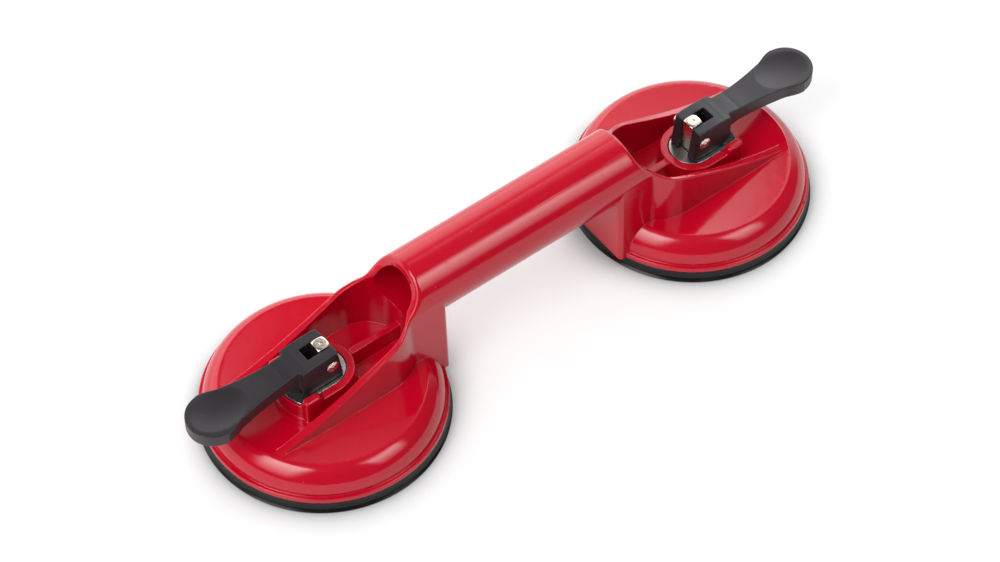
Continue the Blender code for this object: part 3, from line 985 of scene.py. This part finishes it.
def black_rubber():
    """Moulded rubber with a bloom of dust and fine turning marks from the mould."""
    mat, n, shader, place = new_material("moulded_black_rubber")
    bloom = n.noise(place, 70.0, 5.0, 0.65)
    dusty = n.ramp(bloom, 0.0, 1.0, 0.35, 0.8)
    colour = n.mix(dusty, (0.0035, 0.0032, 0.0035), (0.009, 0.0085, 0.0092))
    specks = bright_specks(n, place, 160.0, 0.03)
    colour = n.mix(n.math("MULTIPLY", specks, 0.5), colour, (0.35, 0.34, 0.33))
    rough = n.ramp(bloom, 0.20, 0.36, 0.3, 0.75)
    outward, across, up, radius = cup_coordinates(n, place)
    rings = n.math("SINE", n.math("MULTIPLY", n.math("ADD", radius, up), 9000.0))
    normal = n.bump(rings, 0.006 * MM)
    normal = n.bump(n.noise(place, 500.0, 3.0), 0.04 * MM, after=normal)
    wire(mat, shader, Base_Color=colour, Roughness=rough, Normal=normal)
    shader.inputs["Specular IOR Level"].default_value = 0.34
    return mat


def zinc_steel():
    """Zinc-plated sheet, scuffed in patches that run round the cup's axis."""
    mat, n, shader, place = new_material("brushed_zinc_steel", 1.0)
    outward, across, up, radius = cup_coordinates(n, place)
    turn = n.math("MULTIPLY", n.math("ARCTAN2", across, outward), 34.0)
    polar = n.add("ShaderNodeCombineXYZ", {0: turn, 1: n.math("MULTIPLY", radius, 60.0)})
    brushed = n.noise(polar.outputs[0], 1.0, 2.0, 0.5)
    patches = n.noise(place, 160.0, 2.0, 0.5)
    colour = n.mix(n.ramp(brushed, 0.0, 1.0, 0.3, 0.7), (0.40, 0.39, 0.38), (0.62, 0.61, 0.58))
    rough = n.math("ADD", n.ramp(patches, 0.16, 0.28), n.math("MULTIPLY", brushed, 0.1))
    wire(mat, shader, Base_Color=colour, Roughness=rough, Normal=n.bump(brushed, 0.02 * MM))
    return mat


def nickel_steel():
    """Nickel-plated bar with turning rings on its end and small dents in the plating."""
    mat, n, shader, place = new_material("nickel_plated_steel", 1.0)
    outward, across, up, radius = cup_coordinates(n, place)
    on_top = n.ramp(up, 0.0, 1.0, (STUD_TOP - 2.2) * MM, (STUD_TOP - 1.8) * MM)
    rings = n.math("MULTIPLY", n.math("SINE", n.math("MULTIPLY", radius, 21000.0)), on_top)
    dents = n.noise(place, 900.0, 3.0, 0.6)
    colour = n.mix(n.noise(place, 300.0, 3.0), (0.68, 0.58, 0.51), (0.82, 0.73, 0.65))
    rough = n.ramp(dents, 0.2, 0.36, 0.3, 0.75)
    normal = n.bump(rings, 0.0012 * MM)
    normal = n.bump(dents, 0.004 * MM, after=normal)
    wire(mat, shader, Base_Color=colour, Roughness=rough, Normal=normal)
    return mat


def floor_paper():
    """White paper with a faint fibre and an even glow; a painted contact shadow darkens its colour
    and glow close to what stands on it.
    """
    mat, n, shader, place = new_material("white_floor_paper")
    fibre = n.noise(place, 30.0, 4.0)
    # Painted contact shadow: two ambient-occlusion masks darken the floor's colour and glow near
    # the object
    wide = n.ramp(n.open_to_sky(0.035), 0.48, 1.0, 0.25, 0.95)
    close = n.ramp(n.open_to_sky(0.018), 0.5, 1.0, 0.3, 1.0)
    shade = n.math("MULTIPLY", n.math("MULTIPLY", wide, close), n.ramp(fibre, 0.96, 1.0))
    black = (0.0, 0.0, 0.0)
    wire(mat, shader, Base_Color=n.mix(shade, black, (0.46, 0.46, 0.46)),
         Emission_Color=n.mix(shade, black, (1.0, 1.0, 1.0)), Roughness=n.ramp(fibre, 0.75, 0.85))
    shader.inputs["Emission Strength"].default_value = 0.49
    return mat


# ---------------------------------------------------------------- studio and camera

FLOOR_HALF = 9.0
LIGHT_DISTANCE = 4.0
CAMERA_AZIMUTH = -37.407
CAMERA_ELEVATION = 52.053
CAMERA_DISTANCE = 1.6002
CAMERA_LENS = 119.63
CAMERA_TARGET = Vector((0.00057, 0.00968, 0.0))


def direction(azimuth, elevation):
    """Unit vector; azimuth 0 is towards -Y and 90 towards +X, in degrees."""
    a, e = math.radians(azimuth), math.radians(elevation)
    return Vector((math.sin(a) * math.cos(e), -math.cos(a) * math.cos(e), math.sin(e)))


def softbox(name, towards, degrees, brightness, fades):
    """Rectangular light at an azimuth and elevation, so many degrees wide and high.

    It fades over these shares of its width or height: at its sides, foot and top.
    """
    light = bpy.data.lights.new(name, "AREA")
    light.shape = "RECTANGLE"
    light.size = 2.0 * LIGHT_DISTANCE * math.tan(math.radians(degrees[0] / 2))
    light.size_y = 2.0 * LIGHT_DISTANCE * math.tan(math.radians(degrees[1] / 2))
    light.energy = brightness * math.pi * light.size * light.size_y
    light.use_nodes = True
    n = Nodes(light.node_tree)
    across, upright, _ = n.split(n.add("ShaderNodeNewGeometry").outputs["Parametric"])
    edge = n.math("SUBTRACT", 0.5, n.math("ABSOLUTE", n.math("SUBTRACT", across, 0.5)))
    sides = n.ramp(edge, 0.0, 1.0, 0.0, fades[0])
    foot = n.math("DIVIDE", upright, fades[1])
    top = n.math("DIVIDE", n.math("SUBTRACT", 1.0, upright), fades[2])
    ends = n.math("MINIMUM", n.math("MINIMUM", foot, top), 1.0)
    emission = light.node_tree.nodes["Emission"]
    n.feed(emission.inputs["Strength"], n.math("MULTIPLY", sides, ends))
    obj = link(name, light)
    away = direction(*towards)
    obj.location = away * LIGHT_DISTANCE
    obj.rotation_mode = "QUATERNION"
    obj.rotation_quaternion = away.to_track_quat("Z", "Y")
    return obj


def make_floor():
    mesh = bpy.data.meshes.new("studio_floor")
    round_centre = ((-1, -1), (1, -1), (1, 1), (-1, 1))
    corners = [(x * FLOOR_HALF, y * FLOOR_HALF, 0.0) for x, y in round_centre]
    mesh.from_pydata(corners, [], [(0, 1, 2, 3)])
    mesh.materials.append(floor_paper())
    floor = link("studio_floor", mesh)


def make_lights():
    """Key on the left, a fill seen only in gloss, a panel behind, and a soft light above."""
    softbox("key_softbox", (-79.0, 37.0), (40.0, 54.0), 9.0, (0.3, 0.9, 0.12))
    fill = softbox("fill_softbox", (22.5, 41.0), (31.0, 44.0), 6.4, (0.22, 0.8, 0.3))
    fill.visible_diffuse = False
    softbox("back_panel", (121.0, 38.0), (29.0, 56.0), 1.85, (0.06, 0.05, 0.38))
    above = softbox("top_light", (0.0, 84.0), (92.0, 92.0), 1.1, (0.3, 0.3, 0.3))
    above.visible_glossy = False


def make_room():
    """Dim room that is brighter behind the object, as a pale backdrop makes it."""
    world = bpy.data.worlds.new("studio_room")
    bpy.context.scene.world = world
    world.use_nodes = True
    n = Nodes(world.node_tree)
    towards = n.add("ShaderNodeTexCoord").outputs["Generated"]
    inputs = {0: towards, 1: direction(165.0, 0.0)}
    facing = n.add("ShaderNodeVectorMath", inputs, operation="DOT_PRODUCT").outputs["Value"]
    height = n.split(towards)[2]
    sheet = n.ramp(facing, 0.0, 1.7, 0.15, 0.6)
    low_part = n.ramp(height, 1.0, 0.0, 0.46, 0.84)
    background = world.node_tree.nodes["Background"]
    background.inputs["Color"].default_value = (1.0, 1.0, 1.0, 1.0)
    n.feed(background.inputs["Strength"], n.math("ADD", n.math("MULTIPLY", sheet, low_part), 0.15))


def make_camera():
    data = bpy.data.cameras.new("product_camera")
    data.lens = CAMERA_LENS
    data.sensor_width = 36.0
    camera = link("product_camera", data)
    back = direction(CAMERA_AZIMUTH, CAMERA_ELEVATION)
    camera.location = CAMERA_TARGET + back * CAMERA_DISTANCE
    camera.rotation_mode = "QUATERNION"
    camera.rotation_quaternion = (-back).to_track_quat("-Z", "Y")
    bpy.context.scene.camera = camera


def main():
    red, black, rubber = red_plastic(), black_plastic(), black_rubber()
    steel, nickel = zinc_steel(), nickel_steel()
    make_body(red)
    for label, facing in SIDES:
        make_lever(label, facing, black)
        make_metal(label, facing, steel, nickel)
        make_pad(label, facing, rubber)
    make_floor()
    make_lights()
    make_room()
    make_camera()
    bpy.context.scene.view_settings.view_transform = "Standard"


main()
